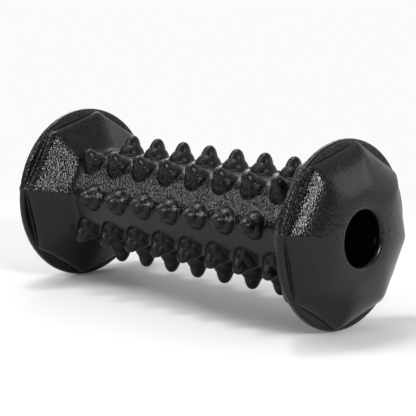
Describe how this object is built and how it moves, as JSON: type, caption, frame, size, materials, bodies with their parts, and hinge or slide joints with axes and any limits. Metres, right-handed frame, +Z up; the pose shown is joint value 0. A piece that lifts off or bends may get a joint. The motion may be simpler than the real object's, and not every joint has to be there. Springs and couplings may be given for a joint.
{
  "type": "foot massage roller",
  "caption": "Soft black foot massage roller: nubbed eight-sided barrel between round flanges with faceted crowns, open bore along the middle.",
  "frame": {"origin": "on the floor under the middle of the roller, which lies on its two rims", "axes": "+X along the roller's axis to the right flange, -Y towards the viewer of the picture, +Z up"},
  "size_m": [0.17, 0.075, 0.075],
  "materials": {
    "soft_black": "semi-gloss with a fine leather grain",
    "tube_black": "matte",
    "hub_black": "matte"
  },
  "bodies": {
    "root": {"roller_body": "soft_black", "core_tube": "tube_black", "left_hub": "hub_black", "right_hub": "hub_black"}
  },
  "joints": []
}
